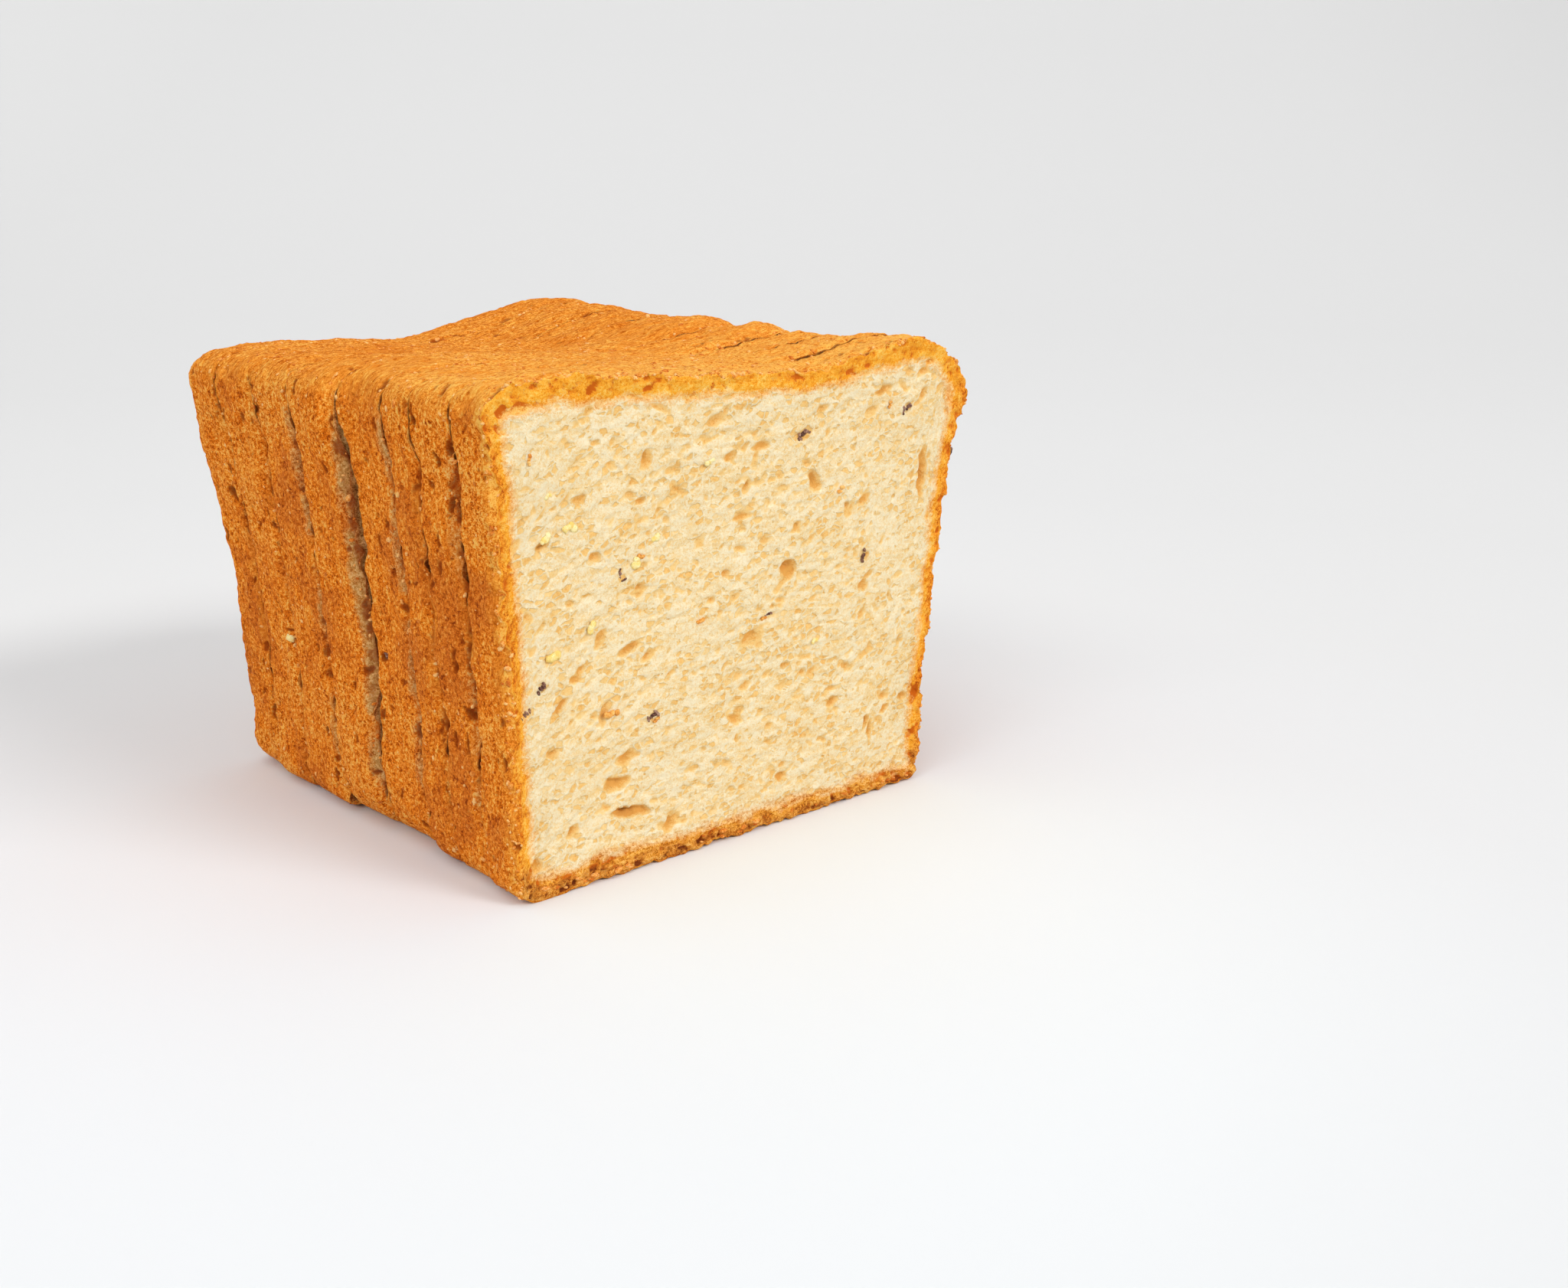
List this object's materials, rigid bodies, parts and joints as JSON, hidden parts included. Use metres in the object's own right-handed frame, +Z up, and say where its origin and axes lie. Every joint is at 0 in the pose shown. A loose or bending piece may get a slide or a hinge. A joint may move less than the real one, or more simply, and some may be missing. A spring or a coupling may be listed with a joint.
{
  "type": "tin loaf",
  "caption": "Square tin loaf of bread, sliced, the slices standing together on a flat base; flared crusty sides, uneven crown, cut crumb face in front and a baked rounded end.",
  "frame": {"origin": "centre of the loaf's flat base, on the surface it stands on", "axes": "+Z up, +Y from the freshly cut face in front to the baked end, +X to the right as seen from the cut face"},
  "size_m": [0.1366, 0.1188, 0.1096],
  "materials": {
    "crumb": "soft, open, matt bread crumb",
    "crust": "baked, dry, finely grained crust"
  },
  "bodies": {
    "root": {"slice_1": "crumb", "slice_2": "crust", "slice_3": "crust", "slice_4": "crust", "slice_5": "crust", "slice_6": "crust", "slice_7": "crust", "end_slice": "crust"}
  },
  "joints": []
}
